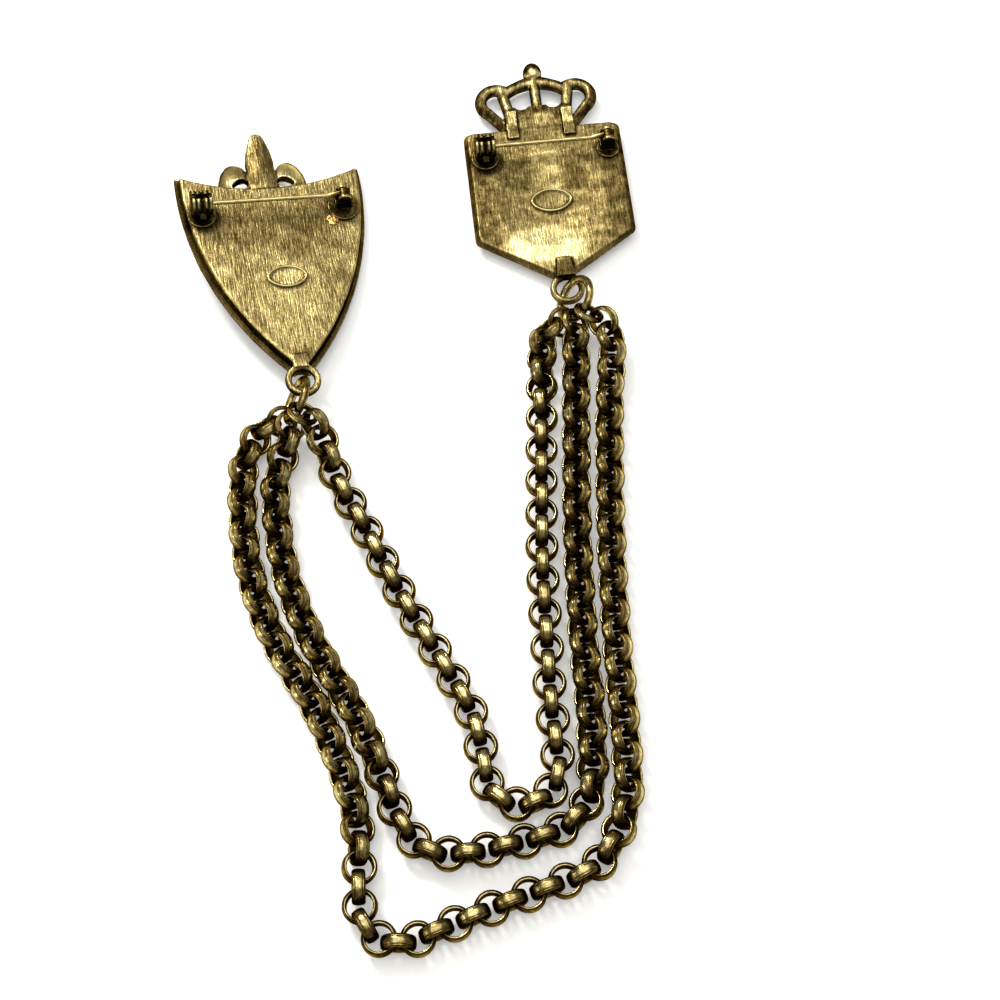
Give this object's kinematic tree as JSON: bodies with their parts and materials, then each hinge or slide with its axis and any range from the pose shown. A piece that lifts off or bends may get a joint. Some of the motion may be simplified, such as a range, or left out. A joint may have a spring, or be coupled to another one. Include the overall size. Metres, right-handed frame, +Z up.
{
  "type": "chatelaine brooch",
  "caption": "Chatelaine brooch: two cast badge brooches, a shield with a fleur-de-lis and a crowned five-sided badge, face down and joined by swagged belcher chains.",
  "frame": {"origin": "middle of the piece's outline, on the table that it lies on", "axes": "+Y from the chains' lower ends towards the badges' tops, +X from the shield badge towards the crowned badge, +Z up, out of the badges' backs"},
  "size_m": [0.0896, 0.1789, 0.0149],
  "materials": {
    "antique_gold_casting": "antique gold plate, brushed",
    "antique_gold_chain": "antique gold plate, polished edges",
    "pale_gold_wire": "polished pale gold plate",
    "dark_catch_metal": "darkened gold plate"
  },
  "bodies": {
    "badges_and_chains": {"shield_body": "antique_gold_casting", "shield_jump_ring": "antique_gold_chain", "crown_body": "antique_gold_casting", "crown_jump_ring": "antique_gold_chain", "chain_inner": "antique_gold_chain", "chain_middle": "antique_gold_chain", "chain_outer": "antique_gold_chain"},
    "shield_stem": {"shield_pin": "pale_gold_wire"},
    "shield_roller": {"shield_catch_lever": "dark_catch_metal"},
    "crown_stem": {"crown_pin": "pale_gold_wire"},
    "crown_roller": {"crown_catch_lever": "dark_catch_metal"}
  },
  "joints": [
    {"name": "shield_pin_hinge", "type": "hinge", "parent": "badges_and_chains", "child": "shield_stem", "pos_m": [-0.01162, 0.05488, 0.00721], "axis": [-0.1994, 0.9799, 0], "range_deg": [0, 95]},
    {"name": "shield_catch_turn", "type": "hinge", "parent": "badges_and_chains", "child": "shield_roller", "pos_m": [-0.0379, 0.04953, 0.01235], "axis": [-0.965, -0.1963, 0.1736], "range_deg": [0, 110]},
    {"name": "crown_pin_hinge", "type": "hinge", "parent": "badges_and_chains", "child": "crown_stem", "pos_m": [0.03965, 0.06901, 0.0067], "axis": [-0.108, 0.9942, 0], "range_deg": [0, 95]},
    {"name": "crown_catch_turn", "type": "hinge", "parent": "badges_and_chains", "child": "crown_roller", "pos_m": [0.01549, 0.06638, 0.0071], "axis": [-0.9942, -0.108, 0], "range_deg": [0, 110]}
  ]
}
